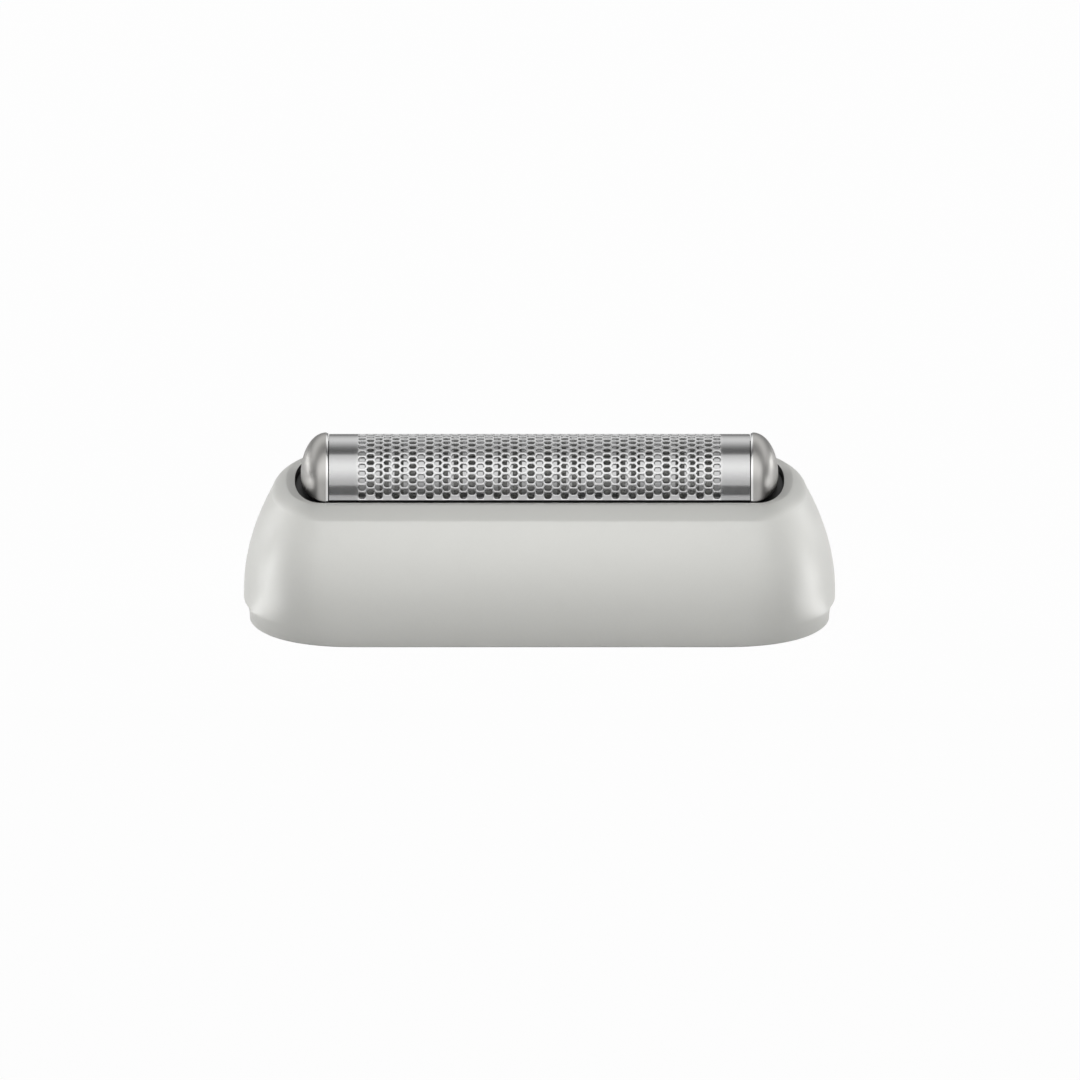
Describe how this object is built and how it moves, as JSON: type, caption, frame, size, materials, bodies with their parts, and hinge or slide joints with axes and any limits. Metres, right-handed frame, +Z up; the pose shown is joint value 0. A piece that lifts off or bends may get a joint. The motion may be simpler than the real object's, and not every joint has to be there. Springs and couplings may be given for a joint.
{
  "type": "shaver head",
  "caption": "Foil shaver head: rounded tapering housing, floating arched perforated foil with domed end caps, and an oscillating blade block inside.",
  "frame": {"origin": "centre of the flat lower rim of the housing", "axes": "+X along the foil, +Z up through the foil, front towards -Y"},
  "size_m": [0.0422, 0.0152, 0.0135],
  "materials": {
    "housing_plastic": "satin moulded",
    "frame_plastic": "fine matt moulded",
    "foil_steel": "fine satin foil",
    "cap_metal": "satin",
    "blade_steel": "ground",
    "spring_wire": "drawn wire",
    "drive_plastic": "satin moulded"
  },
  "bodies": {
    "housing": {"housing": "housing_plastic", "chassis": "frame_plastic", "float_spring_left": "spring_wire", "float_spring_right": "spring_wire"},
    "foil_cassette": {"foil": "foil_steel", "foil_frame": "frame_plastic", "clamp_front": "frame_plastic", "clamp_rear": "frame_plastic", "end_cap_left": "cap_metal", "end_cap_right": "cap_metal"},
    "drive_bridge": {"drive_bridge": "drive_plastic", "cutter_spring_left": "spring_wire", "cutter_spring_right": "spring_wire"},
    "cutter_block": {"blade_carrier": "frame_plastic", "blade_01": "blade_steel", "blade_02": "blade_steel", "blade_03": "blade_steel", "blade_04": "blade_steel", "blade_05": "blade_steel", "blade_06": "blade_steel", "blade_07": "blade_steel", "blade_08": "blade_steel", "blade_09": "blade_steel", "blade_10": "blade_steel", "blade_11": "blade_steel", "blade_12": "blade_steel", "blade_13": "blade_steel", "blade_14": "blade_steel", "blade_15": "blade_steel", "blade_16": "blade_steel", "blade_17": "blade_steel", "blade_18": "blade_steel", "blade_19": "blade_steel", "blade_20": "blade_steel", "blade_21": "blade_steel", "blade_22": "blade_steel", "blade_23": "blade_steel", "blade_24": "blade_steel", "blade_25": "blade_steel"}
  },
  "joints": [
    {"name": "foil_float", "type": "slide", "parent": "housing", "child": "foil_cassette", "axis": [0, 0, 1], "range_m": [-0.001, 0], "stiffness_N_per_m": 60, "springref_m": 0.001, "deforming": ["float_spring_left", "float_spring_right"]},
    {"name": "cutter_drive", "type": "slide", "parent": "housing", "child": "drive_bridge", "axis": [1, 0, 0], "range_m": [-0.001, 0.001]},
    {"name": "cutter_float", "type": "slide", "parent": "drive_bridge", "child": "cutter_block", "axis": [0, 0, 1], "range_m": [-0.001, 0], "stiffness_N_per_m": 40, "springref_m": 0.001, "deforming": ["cutter_spring_left", "cutter_spring_right"]}
  ],
  "couplings": [
    {"joint": "cutter_float", "follows": "foil_float", "ratio": 1}
  ]
}
